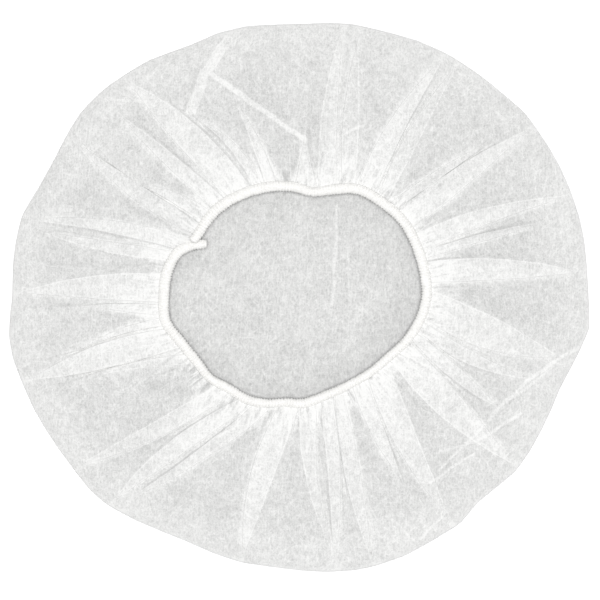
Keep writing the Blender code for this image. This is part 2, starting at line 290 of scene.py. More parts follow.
# %% Lay out the columns
TOP, CREST_LOOP, MIDDLE, HIDDEN_LOOP, BOTTOM = 2.0, 1.5, 1.0, 0.5, 0.0
TOP_STEP_DEG = 1.7
CREASE_SIDE = 0.4 * MM
LOOP_BULGE = 0.15 * MM
FOOT = 3.6 * MM
FOOT_SHARES = (0.15, 0.4, 0.7, 1.0)
FLAT_STEP_AT_MOUTH = 1.9 * MM
FLAT_STEP_AT_EDGE = 5.2 * MM
COLUMN_BLOCK = 16

Column = namedtuple("Column", "pleat part across aside level order")


def pleat_columns(index):
    """The columns of one pleat, anticlockwise along the cloth."""
    row = PLEATS[index]
    steps = max(3, round((row.high_deg - row.low_deg) / TOP_STEP_DEG))
    path = [(0, 0, TOP), (0, CREASE_SIDE, TOP)]
    path += [(k / steps, 0, TOP) for k in range(1, steps)]
    path += [(1, -CREASE_SIDE, TOP), (1, 0, TOP), (1, LOOP_BULGE, CREST_LOOP)]
    path += [(1, 0, MIDDLE), (0.67, 0, MIDDLE), (0.33, 0, MIDDLE), (0, 0, MIDDLE)]
    path += [(0, -LOOP_BULGE, HIDDEN_LOOP), (0, 0, BOTTOM), (0.5, 0, BOTTOM), (1, 0, BOTTOM)]
    if row.lap < 0:
        path = [(1 - across, -aside, level) for across, aside, level in reversed(path)]
    return [
        Column(index, "pleat", across, aside, level, k / (len(path) - 1))
        for k, (across, aside, level) in enumerate(path)
    ]


def flat_columns(index, extra=0):
    """The columns between a pleat and the next one."""
    row, next_row = PLEATS[index], PLEATS[(index + 1) % len(PLEATS)]
    mouth_gap = radians((next_row.low_deg - row.high_deg) % 360) * mouth_reach(row.high_deg)
    edge_gap = radians((next_row.tip_deg - row.tip_deg) % 360) * edge_reach(row.tip_deg)
    count = max(2, round(mouth_gap / FLAT_STEP_AT_MOUTH), round(edge_gap / FLAT_STEP_AT_EDGE)) + extra
    after = [Column(index, "after", s, 0, BOTTOM, 0) for s in FOOT_SHARES if row.lap < 0]
    before = [Column(index, "before", s, 0, BOTTOM, 0) for s in FOOT_SHARES[::-1] if next_row.lap > 0]
    middle = [Column(index, "open", k / (count + 1), 0, BOTTOM, 0) for k in range(1, count + 1)]
    return [*after, *middle, *before]


def lay_columns():
    """All columns, with a few more in the widest flats so that their number can be halved."""
    extras = [0] * len(PLEATS)
    while True:
        columns = []
        for index in range(len(PLEATS)):
            columns += pleat_columns(index) + flat_columns(index, extras[index])
        if len(columns) % COLUMN_BLOCK == 0:
            return columns
        gaps = [
            ((PLEATS[(i + 1) % len(PLEATS)].tip_deg - row.tip_deg) % 360) / (4 + extras[i])
            for i, row in enumerate(PLEATS)
        ]
        extras[gaps.index(max(gaps))] += 1


COLUMNS = lay_columns()
PLEAT_OF = np.array([column.pleat for column in COLUMNS])
LEVEL_OF = np.array([column.level for column in COLUMNS])
IN_PLEAT = np.array([column.part == "pleat" for column in COLUMNS])
ACROSS = np.array([column.across for column in COLUMNS])
ASIDE = np.array([column.aside for column in COLUMNS])
ORDER = np.array([column.order for column in COLUMNS])
TO_CREST = np.where(LAPS[PLEAT_OF] > 0, ACROSS, 1 - ACROSS)
print("columns:", len(COLUMNS), "of which in pleats:", int(IN_PLEAT.sum()))

# %% [markdown]
# ## Directions of the columns
#
# In each row the creases stand at their own directions, on bowed lines from the mouth to the
# tip that wander a little, as hand-made folds do. A pleat also keeps a narrow spread, a
# millimetre or so from its first column to its last. Past the tip, where the pleat has no width
# left, that spread keeps the columns apart, and the fold opens into plain cloth by itself.

# %% Work out the directions
FRONT_ROWS = 33
ROW_CROWDING = 1.12
RIM_TUCK = 1.3 * MM
TURN_DEPTH = 5.5 * MM
PLEAT_SPREAD = 1.3 * MM
LEAST_WIDTH = 3.0 * MM
CREASE_WANDER = 0.1 * MM
MOST_FOOT_SHARE = 0.4

SHARES = np.linspace(0, 1, FRONT_ROWS) ** ROW_CROWDING


def front_reach(deg, share):
    low, high = mouth_reach(deg) + RIM_TUCK, edge_reach(deg) - TURN_DEPTH
    return lerp(low, high, share)


def crease(row, mouth_deg, bow_mm, shares):
    """Direction of a pleat's crease in each row, unwrapped from its direction at the mouth."""
    start = along(mouth_deg) * front_reach(mouth_deg, 0)
    tip = along(row.tip_deg) * front_reach(row.tip_deg, row.tip_share)
    s = np.clip(shares / row.tip_share, 0, 1)[:, None]
    side = np.array([start[1] - tip[1], tip[0] - start[0]]) / np.linalg.norm(tip - start)
    slow = np.sin(2 * pi * (2.1 * s + 0.37 * mouth_deg))
    quick = np.sin(2 * pi * (4.7 * s + 0.71 * mouth_deg))
    bow = bow_mm * MM + CREASE_WANDER * (slow + 0.7 * quick)
    places = start + (tip - start) * s + side * bow * 4 * s * (1 - s)
    deg = np.degrees(np.arctan2(places[:, 1], places[:, 0]))
    return deg + 360 * np.round((mouth_deg - deg) / 360)


class Layout:
    """Where the columns stand in some rows: arrays with a row for each share."""

    def __init__(self, shares, spread=PLEAT_SPREAD):
        shares = np.atleast_1d(np.asarray(shares, float))
        low = np.stack([crease(row, row.low_deg, row.low_bow_mm, shares) for row in PLEATS], 1)
        high = np.stack([crease(row, row.high_deg, row.high_bow_mm, shares) for row in PLEATS], 1)
        reach = front_reach((low + high) / 2, shares[:, None])
        per_metre = np.degrees(1 / reach)
        self.width = (high - low) / per_metre
        next_low = np.roll(low, -1, 1)
        next_low += 360 * np.round((high - next_low) / 360)
        start, end = high + spread / 2 * per_metre, next_low - spread / 2 * per_metre
        self.gap = (end - start) / per_metre
        self.foot = np.minimum(FOOT, MOST_FOOT_SHARE * self.gap)
        foot_deg = self.foot * per_metre
        after = (LAPS < 0) * foot_deg
        before = (np.roll(LAPS, -1) > 0) * foot_deg

        j = PLEAT_OF
        fit = np.minimum(1, self.width[:, j] / LEAST_WIDTH)
        in_pleat = low[:, j] + (high - low)[:, j] * ACROSS
        in_pleat += (ASIDE * fit + (ORDER - 0.5) * spread) * per_metre[:, j]
        opened = lerp((start + after)[:, j], (end - before)[:, j], ACROSS)
        parts = np.array([column.part for column in COLUMNS])
        self.deg = np.select(
            [parts == "pleat", parts == "after", parts == "before"],
            [in_pleat, start[:, j] + ACROSS * foot_deg[:, j], end[:, j] - ACROSS * foot_deg[:, j]],
            opened,
        )
        self.after = (self.deg - start[:, j]) / per_metre[:, j]
        self.before = (end[:, j] - self.deg) / per_metre[:, j]
        self.flat_across = np.clip(self.after / np.maximum(self.gap[:, j], 1e-6), 0, 1)
        self.reach = front_reach(self.deg, shares[:, None])
        self.places = along(self.deg) * self.reach[..., None]
        self.shares = shares


front = Layout(SHARES)
print("narrowest flat in mm:", round(float(front.gap.min()) / MM, 2))

# %% [markdown]
# ## How the cloth lies
#
# The height of a point is the height of the bag there, plus the layer that it belongs to, plus
# its wrinkles. The bag and the wrinkles depend only on the place seen from above, so layers
# over each other share them. Layers can still lie closer than the cloth is thick, and there
# they overlap a little, hidden under the top layer. The real cloth is crisp, with flat facets
# and soft ridges, so the wrinkles use noise folded at zero, which makes ridges.

# %% Heights of the bag and its wrinkles
CLOTH = 0.26 * MM
TURN_HEIGHT = 8.2 * MM
TIP_PINCH = 2.0 * MM
TIP_PINCH_SPREAD_DEG = 4.0
FRONT_BILLOW = 1.6 * MM
RIM_DROP = 0.8 * MM
SHOULDER = 1.4 * MM
SHOULDER_REACH = 8 * MM


def noise_at(places, size, seed):
    """Smooth noise of about -1 to 1 at places seen from above, with lumps of the given size."""
    flat = places.reshape(-1, 2) / size
    values = [noise.noise((x, y, seed)) for x, y in flat]
    return np.array(values).reshape(places.shape[:-1])


def ridges_at(places, size, seed):
    """Creased noise from 0 to 1: long sharp ridges between soft hollows."""
    return 1 - np.abs(np.clip(2.2 * noise_at(places, size, seed), -1, 1))


def turn_top(deg):
    pinch = np.zeros_like(deg)
    for row in PLEATS:
        away = (deg - row.tip_deg + 180) % 360 - 180
        pinch = np.maximum(pinch, row.tip_share**4 * np.exp(-((away / TIP_PINCH_SPREAD_DEG) ** 2)))
    return TURN_HEIGHT - TIP_PINCH * pinch


def bag_height(deg, share, reach):
    past_rim = reach - front_reach(deg, 0)
    shoulder = SHOULDER * smooth(past_rim / SHOULDER_REACH) * (1 - share)
    slope = lerp(mouth_lift(deg) - RIM_DROP, turn_top(deg), share)
    return slope + shoulder + FRONT_BILLOW * np.sin(pi * share)


def wrinkles(places, share):
    calm = smooth(share / 0.12)
    swell = 1.0 * MM * noise_at(places, 42 * MM, 3.1)
    facets = 0.55 * MM * (ridges_at(places, 19 * MM, 7.7) - 0.6)
    crumple = 0.22 * MM * (ridges_at(places, 7 * MM, 12.4) - 0.6)
    return calm * (swell + facets) + crumple


share_of = front.shares[:, None] * np.ones(len(COLUMNS))
base = bag_height(front.deg, share_of, front.reach) + wrinkles(front.places, share_of)
print("front layer in mm, from", round(base.min() / MM, 1), "to", round(base.max() / MM, 1))

# %% [markdown]
# ## Small tucks at the hem
#
# The elastic takes in far more cloth than the big pleats use. The rest stands in small tucks
# that leave the hem every few millimetres and fade out after a few centimetres. Each tuck gets
# its place, reach and height from a seeded random draw, so that it is the same in each run.

# %% Draw the tucks
rng = np.random.default_rng(41)
TUCK_STEP_DEG = (2.3, 4.2)
TUCK_REACH = (7 * MM, 30 * MM)
TUCK_RISE = (0.5 * MM, 1.1 * MM)
TUCK_HALF_WIDTH = 1.0 * MM

Tuck = namedtuple("Tuck", "deg lean_deg reach rise")


def draw_tucks():
    tucks = []
    deg = 0.0
    while deg < 358:
        reach = lerp(*TUCK_REACH, rng.random() ** 1.8)
        tucks.append(Tuck(deg, rng.uniform(-2.5, 2.5), reach, rng.uniform(*TUCK_RISE)))
        deg += rng.uniform(*TUCK_STEP_DEG)
    return tucks


TUCKS = draw_tucks()


def tuck_lines(layout, half_width):
    """(rise, line) of the tucks: their height, and how near a point is to one, from 0 to 1."""
    past_rim = layout.reach - front_reach(layout.deg, 0)
    rise, line = np.zeros_like(layout.deg), np.zeros_like(layout.deg)
    for tuck in TUCKS:
        away = past_rim / tuck.reach
        centre = tuck.deg + tuck.lean_deg * away
        side = np.radians((layout.deg - centre + 180) % 360 - 180) * layout.reach
        near = np.exp(-((side / half_width) ** 2)) * (1 - smooth(away))
        rise += tuck.rise * near
        line = np.maximum(line, near)
    return rise, line


tuck_rise, tuck_line = tuck_lines(front, TUCK_HALF_WIDTH)
print("tucks:", len(TUCKS), "highest in mm:", round(tuck_rise.max() / MM, 2))

# %% [markdown]
# ## Creases that cross the pleats
#
# A few creases run across the pleats, probably because the cap was folded flat in its pack.
# They are straight lines between two places read off a photo, with a width, a height and
# a crispness that turns a soft line into a flat band. The mesh carries them as low ridges, and
# the material draws their thin bright line later, which is finer than the mesh.

# %% Creases across the front and the back layer
CreaseRow = namedtuple(
    "CreaseRow", "start_x_mm start_y_mm end_x_mm end_y_mm half_width_mm rise_mm tone crispness"
)
FRONT_CREASES = (
    CreaseRow(-53.4, 133.5, -30.0, 117.6, 2.3, 0.8, 1.0, 1.8),
    CreaseRow(-30.0, 117.6, 3.0, 93.3, 2.0, 0.8, 1.0, 1.8),
    CreaseRow(-41.2, 158.6, -47.0, 148.0, 1.3, 0.5, 0.5, 4),
    CreaseRow(-47.0, 147.0, -55.5, 133.8, 3.2, 0.8, 0.75, 5),
    CreaseRow(-56.5, 133.0, -64.5, 111.0, 3.6, 0.8, 0.7, 5),
    CreaseRow(-41.4, 159.0, -52.0, 144.5, 1.1, 0.4, 0.8, 1.5),
    CreaseRow(-120.0, 120.0, -92.4, 116.7, 1.2, 0.3, 0.4, 1.5),
    CreaseRow(166.5, -30.5, 152.4, -38.9, 1.5, 0.7, 0.75, 1.5),
    CreaseRow(152.4, -38.9, 135.0, -50.1, 1.5, 0.8, 0.8, 1.5),
    CreaseRow(135.0, -50.1, 112.5, -74.0, 1.4, 0.8, 0.75, 1.5),
    CreaseRow(112.5, -74.0, 82.4, -103.3, 1.2, 0.6, 0.55, 1.5),
    CreaseRow(148.0, -44.5, 128.0, -59.5, 1.2, 0.5, 0.55, 1.5),
    CreaseRow(132.6, -69.9, 116.0, -80.5, 1.4, 0.7, 0.7, 1.5),
    CreaseRow(116.0, -80.5, 96.0, -89.0, 1.2, 0.6, 0.65, 1.5),
    CreaseRow(96.0, -89.0, 78.6, -93.9, 1.1, 0.5, 0.5, 1.5),
    CreaseRow(104.2, -93.5, 78.0, -110.0, 1.1, 0.6, 0.7, 1.5),
    CreaseRow(85.5, -131.5, 73.0, -144.5, 1.2, 0.6, 0.6, 1.5),
    CreaseRow(69.0, -145.5, 56.0, -133.0, 1.1, 0.5, 0.5, 1.5),
    CreaseRow(130.8, 109.5, 123.0, 106.5, 1.1, 0.3, 0.35, 1.5),
    CreaseRow(25.8, 96.9, 38.4, 102.3, 1.2, 0.5, 0.6, 1.5),
    CreaseRow(38.4, 102.3, 41.4, 107.1, 1.1, 0.5, 0.5, 1.5),
    CreaseRow(-53.4, -85.0, -39.6, -78.0, 1.1, 0.4, 0.55, 1.5),
    CreaseRow(-13.0, -136.0, -4.0, -122.5, 1.3, 0.4, 0.3, 1.5),
)
BACK_CREASES = (
    CreaseRow(22.7, 55.1, 19.9, -4.6, 1.5, 0.35, 0.8, 1),
    CreaseRow(28.4, 32.2, 30.7, -2.3, 1.2, 0.25, 0.5, 1),
    CreaseRow(-6.0, 20.0, 32.0, -22.0, 3.0, 0.3, 0.2, 1),
)


def crease_rise(places, rows):
    """Height of the crossing creases at places seen from above."""
    rise = np.zeros(places.shape[:-1])
    for row in rows:
        start = np.array([row.start_x_mm, row.start_y_mm]) * MM
        end = np.array([row.end_x_mm, row.end_y_mm]) * MM
        run = end - start
        at = np.clip(((places - start) @ run) / (run @ run), 0, 1)
        away = np.linalg.norm(places - start - at[..., None] * run, axis=-1)
        rise = np.maximum(rise, row.rise_mm * MM * np.exp(-((away / (1.6 * row.half_width_mm * MM)) ** 2)))
    return rise


print("crossing creases:", len(FRONT_CREASES), "in front and", len(BACK_CREASES), "behind")

# %% [markdown]
# ## Layers of the pleats
#
# The top layer starts low over the hidden crease and climbs to the open crease, which stands a
# little proud and throws the thin shadow that makes a knife pleat readable. The middle layer
# hangs between the top and the bottom. All gaps close towards the tip, and also right at the
# hem, where the stitching presses the layers together.

# %% Heights of the front layer
LAYER_GAP = 0.31 * MM
OPEN_WIDTH = 2.4 * MM
CREST_RISE = 0.38 * MM
CREST_START = 0.3
CROWDED_SHARE = 0.35
CROWDED_GAP = 5 * MM
TOP_BILLOW = 0.3 * MM
TOP_BILLOW_WIDTH = 6 * MM
FLAT_DISH = 1.0 * MM
PRESSED_SHARE = 0.45
PRESSED_REACH = 8 * MM


def pressed(layout):
    """How much of their height folds keep: less right at the hem."""
    past_rim = layout.reach - front_reach(layout.deg, 0)
    return lerp(PRESSED_SHARE, 1, smooth(past_rim / PRESSED_REACH))


def layer_heights(layout):
    """Height of each point over the bag because of the pleats and the flats between them."""
    j = PLEAT_OF
    beside = np.minimum(layout.gap, np.roll(layout.gap, 1, 1))
    opened = smooth(layout.width / OPEN_WIDTH) * lerp(CROWDED_SHARE, 1, smooth(beside / CROWDED_GAP))
    gap = LAYER_GAP * opened
    rise = CREST_RISE * np.sqrt(np.clip(1 - layout.shares[:, None] / TIP_SHARES, 0, 1)) * opened
    billow = TOP_BILLOW * np.minimum(1, layout.width / TOP_BILLOW_WIDTH)
    top = 2 * gap[:, j] + rise[:, j] * lerp(CREST_START, 1, TO_CREST)
    top += billow[:, j] * np.sin(pi * TO_CREST)
    middle = gap[:, j] + rise[:, j] * TO_CREST
    in_pleat = np.select(
        [LEVEL_OF == TOP, LEVEL_OF == CREST_LOOP, LEVEL_OF == MIDDLE, LEVEL_OF == HIDDEN_LOOP],
        [top, 1.5 * gap[:, j] + rise[:, j], middle, 0.5 * gap[:, j]],
        0.0,
    )
    hidden = 2 * gap + CREST_START * rise
    next_hidden = np.roll(hidden * (LAPS > 0), -1, 1)[:, j]
    foot = np.maximum(layout.foot[:, j], 1e-6)
    climb = (hidden * (LAPS < 0))[:, j] * (1 - smooth(layout.after / foot))
    climb += next_hidden * (1 - smooth(layout.before / foot))
    dish = FLAT_DISH * np.sin(pi * layout.flat_across) * np.sin(pi * layout.shares[:, None])
    return np.where(IN_PLEAT, in_pleat, climb - dish) * pressed(layout)


front_z = base + layer_heights(front) + tuck_rise * pressed(front) + crease_rise(front.places, FRONT_CREASES)
print("front with folds in mm, up to", round(front_z.max() / MM, 1))

# %% [markdown]
# ## A whiter outer edge
#
# The web is painted whiter towards the outer fold edge, and most on the steep side of the turn.
# There it is painted sheen, because the eye looks along the cloth and sees more fibres, and
# painted light that lifts the shade the lamps leave on that steep side. One number says by how
# much, and the rows near the edge carry it. The cloth's own unevenness is left to the cloud
# noise in the material.

# %% How much whiter the edge is
OUTER_TONE = 0.11
print("tone added at the outer edge:", OUTER_TONE)

# %% [markdown]
# ## The outer turn and the back layer
#
# At the outer edge the cloth turns over in a soft, slightly pointed half round and runs back
# underneath to the middle. The back layer needs far fewer points, so the columns drift to even
# spacing and are halved a few times on the way in. It lies on the floor, with wrinkles that only
# ever lift it.

# %% The turn and the back
# Height in the turn, from 1 at the front layer to -1 at the back layer
TURN_LEVELS = (0.84, 0.62, 0.36, 0.08, -0.28, -0.64, -1.0)
TURN_POINTING = 1.35
EDGE_GLOW = 3.0
TURN_SPREAD = 3.2 * MM
BACK_LIFT = CLOTH / 2 + 0.04 * MM
# How far in each back row lies, as a share of the way to the middle, with the halvings so far
BACK_ROWS = (
    *((0.012 + 0.016 * k, 0) for k in range(2)),
    *((0.045 + 0.02 * k, 1) for k in range(4)),
    *((0.13 + 0.0222 * k, 2) for k in range(29)),
    *((0.772 + 0.03 * k, 3) for k in range(4)),
    *((0.89 + 0.035 * k, 4) for k in range(3)),
)
EVEN_BY = 0.22


def back_height(places):
    swell = 0.55 * MM * np.clip(noise_at(places, 36 * MM, 21.3) + 0.25, 0, 1)
    crinkle = 0.28 * MM * ridges_at(places, 15 * MM, 5.9) ** 3
    fine = 0.1 * MM * ridges_at(places, 5 * MM, 9.2)
    return BACK_LIFT + swell + crinkle + fine + crease_rise(places, BACK_CREASES)


Ring = namedtuple("Ring", "places z plies crease shade tone gather front")


def turn_rings():
    """Rows round the outer turn, from the front layer down to the back layer."""
    rings = []
    top = front_z[-1]
    to_edge = IN_PLEAT & (TIP_SHARES[PLEAT_OF] > 0.9)
    for k, level in enumerate(TURN_LEVELS):
        spread = lerp(PLEAT_SPREAD, TURN_SPREAD, (k + 1) / len(TURN_LEVELS))
        deg = Layout(1.0, spread).deg[0]
        depth = TURN_DEPTH * (1 - abs(level) ** TURN_POINTING) ** (1 / TURN_POINTING)
        places = along(deg) * (front_reach(deg, 1) + depth)[:, None]
        low = back_height(places)
        z = lerp(low, top, (1 + level) / 2)
        nothing = np.zeros(len(deg))
        upper = smooth((level + 0.6) / 0.6) * np.ones(len(deg))
        line = to_edge * 0.7 * upper
        # Painted sheen and painted light on the steep side of the turn: its tone rises to four times the
        # outer tone.
        limb = 1 + EDGE_GLOW * smooth((0.9 - level) / 0.8)
        front_share = smooth((level + 1) / 1.6) * np.ones(len(deg))
        tone = OUTER_TONE * limb * upper
        ring = Ring(places, z, nothing, line, nothing, tone, nothing, front_share)
        rings.append((deg, ring))
    return rings


def back_rings(edge_deg):
    """Rows of the back layer from the turn to the middle, with fewer and fewer columns."""
    even = edge_deg[0] + 360 * np.arange(len(edge_deg)) / len(edge_deg)
    rings = []
    for share, halvings in BACK_ROWS:
        deg = lerp(edge_deg, even, smooth(share / EVEN_BY))[:: 2**halvings]
        places = along(deg) * (front_reach(deg, 1) * (1 - share))[:, None]
        nothing = np.zeros(len(deg))
        rings.append(Ring(places, back_height(places), *[nothing] * 6))
    return rings


turn = turn_rings()
back = back_rings(turn[-1][0])
print("turn rows:", len(turn), "back rows:", len(back), "innermost has", len(back[-1].z), "columns")

# %% [markdown]
# ## What the material needs to know
#
# The real cloth is thin enough that more layers look whiter. Painting that with light through
# the cloth would be slow and noisy, so the mesh carries it in numbers: how many layers lie at a
# point, how near a crease is, how much painted shade a flat gets between its pleats and near the
# hem, the painted lighter tone towards the outer edge, and how strongly the hem gathers it.
# Narrow flats and the foot of each open crease also get painted light, which lifts the shade
# there. The material reads these numbers as attributes.

# %% Numbers for the front rows
GATHER_REACH = (7 * MM, 26 * MM)
GATHER_FIELD = 11 * MM
PIT_SIZE = 3.6 * MM
PIT_REACH = 13 * MM
NARROW_FLAT = (1.5 * MM, 6.5 * MM)
SHADE_REACH = 42 * MM
SHADE_WIDTH = 12 * MM
FOLD_STEP = 0.3
OUTER_START = 0.72

def front_rings():
    j = PLEAT_OF
    past_rim = front.reach - front_reach(front.deg, 0)
    still_open = smooth(front.width / (1.6 * MM))[:, j]
    on_top = IN_PLEAT & (LEVEL_OF > HIDDEN_LOOP)
    step_at = 0.3 + 0.4 * np.modf(7.3 * np.arange(len(PLEATS)) * 0.618)[0]
    step = FOLD_STEP * (smooth((TO_CREST - step_at[j]) / 0.12) - 0.5)
    uneven = 1 + 0.35 * noise_at(front.places, 24 * MM, 17.0)
    top = still_open * (WHITENESS[j] * uneven + step)
    # Narrow flats between close pleats are made whiter as well: painted light that lifts the shade in the
    # slit between them.
    narrow_slit_light = 1 - smooth((front.gap[:, j] - NARROW_FLAT[0]) / (NARROW_FLAT[1] - NARROW_FLAT[0]))
    plies = np.where(on_top, top, np.where(IN_PLEAT, 0, 0.8 * narrow_slit_light))
    plies = np.clip(plies + 0.5 * tuck_line, 0, 2.4)
    reach = lerp(*GATHER_REACH, np.clip(0.4 + 0.8 * noise_at(front.places, GATHER_FIELD, 31.0), 0, 1))
    gather = np.exp(-past_rim / reach)
    at_side = ((ACROSS == 0) | (ACROSS == 1)) & (np.abs(ASIDE) < CREASE_SIDE)
    edge = IN_PLEAT & (LEVEL_OF >= CREST_LOOP) & at_side
    past_tip = np.clip((share_of - TIP_SHARES[j]) / 0.05, 0, 1) * (TIP_SHARES[j] < 0.9)
    crease_mark = np.where(edge, 1 - past_tip, 0)
    # Painted light: the cloth at the foot of each open crease is made whiter, which lifts the crease's
    # shadow there.
    crest_foot = IN_PLEAT & (LEVEL_OF == BOTTOM) & (TO_CREST == 1)
    crease_mark = np.where(crest_foot, still_open, crease_mark)
    # Painted shade: flats are darkened between their pleats near the hem, and in small patches right at the
    # hem.
    dip_shade = np.sin(pi * front.flat_across) ** 0.7 * np.exp(-past_rim / SHADE_REACH)
    dip_shade *= np.minimum(1, front.gap[:, j] / SHADE_WIDTH)
    pit_shade = np.clip(2.5 * noise_at(front.places, PIT_SIZE, 44.0) - 0.5, 0, 1)
    pit_shade *= np.exp(-past_rim / PIT_REACH)
    shade = np.where(IN_PLEAT, 0, dip_shade) + 0.8 * pit_shade
    # The front rows grow lighter towards the outer edge, where the edge's painted sheen and light begin.
    outer = smooth((share_of - OUTER_START) / (1 - OUTER_START))
    tone = OUTER_TONE * outer
    one = np.ones(len(COLUMNS))
    return [
        Ring(front.places[i], front_z[i], plies[i], crease_mark[i], shade[i], tone[i], gather[i], one)
        for i in range(FRONT_ROWS)
    ]


rings = [*front_rings(), *(ring for _, ring in turn), *back]
print("rows:", len(rings), "points:", sum(len(ring.z) for ring in rings))

# %% [markdown]
# ## Sew the rows into one sheet
#
# Faces join each row to the next. Where the next row has half the columns, a triangle and a
# quad take up each pair. A fan closes the middle of the back, and Solidify then gives the web
# its quarter millimetre, so the sheet has two faces and a closed rim.

# %% Build the sheet
def bridge(first, count, next_first, next_count):
    """Faces between two closed rows, the second with as many points or half as many."""
    faces = []
    if count == next_count:
        for i in range(count):
            k = (i + 1) % count
            faces.append((first + i, next_first + i, next_first + k, first + k))
        return faces
    for i in range(next_count):
        k = (i + 1) % next_count
        a, b, c = first + 2 * i, first + 2 * i + 1, first + (2 * i + 2) % count
        faces.append((a, next_first + i, b))
        faces.append((b, next_first + i, next_first + k, c))
    return faces


def deselect():
    for obj in bpy.context.selected_objects:
        obj.select_set(False)


def make_mesh(name, places, faces):
    """An object whose mesh is placed on the frame's centre, shaded smooth."""
    mesh = bpy.data.meshes.new(name)
    shifted = np.asarray(places, float) + np.array([CENTRE.x, CENTRE.y, 0])
    mesh.from_pydata(shifted.tolist(), [], faces)
    mesh.shade_smooth()
    obj = bpy.data.objects.new(name, mesh)
    bpy.context.scene.collection.objects.link(obj)
    deselect()
    obj.select_set(True)
    bpy.context.view_layer.objects.active = obj
    return obj


def add_numbers(obj, name, values):
    attribute = obj.data.attributes.new(name, "FLOAT", "POINT")
    attribute.data.foreach_set("value", np.asarray(values, np.float32))


def make_sheet():
    places = np.concatenate([np.column_stack([ring.places, ring.z]) for ring in rings])
    middle = len(places)
    centre_z = float(back_height(np.zeros((1, 2)))[0])
    places = np.vstack([places, [0, 0, centre_z]])
    starts = np.cumsum([0, *(len(ring.z) for ring in rings)])
    faces = []
    for i in range(len(rings) - 1):
        faces += bridge(starts[i], len(rings[i].z), starts[i + 1], len(rings[i + 1].z))
    last, count = starts[-2], len(rings[-1].z)
    faces += [(last + i, middle, last + (i + 1) % count) for i in range(count)]
    faces = [tuple(int(v) for v in face) for face in faces]
    sheet = make_mesh("cap_sheet", places, faces)
    for name in Ring._fields[2:]:
        add_numbers(sheet, name, np.append(np.concatenate([getattr(ring, name) for ring in rings]), 0))
    solid = sheet.modifiers.new("web", "SOLIDIFY")
    solid.thickness = CLOTH
    solid.offset = 0
    solid.use_even_offset = False
    bpy.ops.object.modifier_apply(modifier=solid.name)
    return sheet


cap_sheet = make_sheet()
cap_sheet.data.calc_loop_triangles()
print("cap_sheet triangles:", len(cap_sheet.data.loop_triangles))

# %% [markdown]
# ## The hem
#
# The hem is cloth rolled over the elastic, so it is a soft tube with a pucker at each stitch. A
# curve with a round bevel would be quicker, but it couldn't pucker. The tube is swept along the
# route in code, ring by ring, and each ring swells between two stitches and pulls in at a
# stitch. Its ends are closed and rounded.

# %% Sweep the hem
STITCH = 1.8 * MM
HEM_RINGS_A_STITCH = 6
HEM_SIDES = 18
PUCKER = 0.06
LUMPS = 0.12
END_ROUND = 2.2 * MM

_, _, coarse = hem_line(600)
STITCHES = round(float(coarse[-1]) / STITCH)
HEM_LENGTH = float(coarse[-1])
ROUTE, WIDTHS, LENGTHS = hem_line(STITCHES * HEM_RINGS_A_STITCH + 1)


def sweep_axes(points):
    """(forward, outward, up) unit vectors along a route."""
    forward = np.gradient(points, axis=0)
    forward /= np.linalg.norm(forward, axis=1)[:, None]
    outward = np.cross(forward, [0, 0, 1])
    outward /= np.linalg.norm(outward, axis=1)[:, None]
    return forward, outward, np.cross(outward, forward)


_, OUTWARD, UP = sweep_axes(ROUTE)


def hem_surface(at, turn_deg, proud=0.0):
    """Points on the hem: at is the length along it, and turn_deg goes from outside over the top."""
    at, turn = np.broadcast_arrays(np.asarray(at, float), np.radians(turn_deg))
    read = lambda table: np.stack([np.interp(at, LENGTHS, table[:, axis]) for axis in range(3)], -1)
    width = np.interp(at, LENGTHS, WIDTHS)
    from_end = np.clip(np.minimum(at, HEM_LENGTH - at) / END_ROUND, 0, 1)
    rounding = np.sqrt(1 - (1 - from_end) ** 2)
    side = read(OUTWARD) * (np.cos(turn) * (width / 2 * rounding + proud))[..., None]
    rise = read(UP) * (np.sin(turn) * (HEM_HEIGHT / 2 * rounding + proud))[..., None]
    return read(ROUTE) + side + rise


def make_hem():
    turns = 360 * np.arange(HEM_SIDES) / HEM_SIDES
    at = np.clip(LENGTHS, 0.02 * MM, HEM_LENGTH - 0.02 * MM)
    places = hem_surface(at[:, None], turns[None, :])
    outward = places - ROUTE[:, None, :]
    uneven = [noise.noise(Vector(p) / (9 * MM)) for p in ROUTE]
    swell = -PUCKER * np.cos(2 * pi * at / STITCH) * (1 + 1.5 * np.array(uneven))
    swell = swell[:, None] * np.ones(HEM_SIDES)
    lumps = [noise.noise(Vector(p) / (1.9 * MM)) for p in places.reshape(-1, 3)]
    swell = swell + LUMPS * np.array(lumps).reshape(swell.shape)
    places = ROUTE[:, None, :] + outward * (1 + swell[..., None])
    rows = len(at)
    faces = []
    for i in range(rows - 1):
        for k in range(HEM_SIDES):
            m = (k + 1) % HEM_SIDES
            a, b = i * HEM_SIDES, (i + 1) * HEM_SIDES
            faces.append((a + k, a + m, b + m, b + k))
    faces.append(tuple(range(HEM_SIDES))[::-1])
    faces.append(tuple(range((rows - 1) * HEM_SIDES, rows * HEM_SIDES)))
    hem = make_mesh("hem", places.reshape(-1, 3), faces)
    add_numbers(hem, "along_mm", np.repeat(at / MM, HEM_SIDES))
    return hem


def face_out(obj):
    """Recalculates the normals of a closed piece in edit mode, so that its faces point outwards."""
    deselect()
    obj.select_set(True)
    bpy.context.view_layer.objects.active = obj
    bpy.ops.object.mode_set(mode="EDIT")
    bpy.ops.mesh.select_all(action="SELECT")
    bpy.ops.mesh.normals_make_consistent(inside=False)
    bpy.ops.object.mode_set(mode="OBJECT")


hem = make_hem()
face_out(hem)
hem.data.calc_loop_triangles()
print("stitches:", STITCHES, "hem triangles:", len(hem.data.loop_triangles))

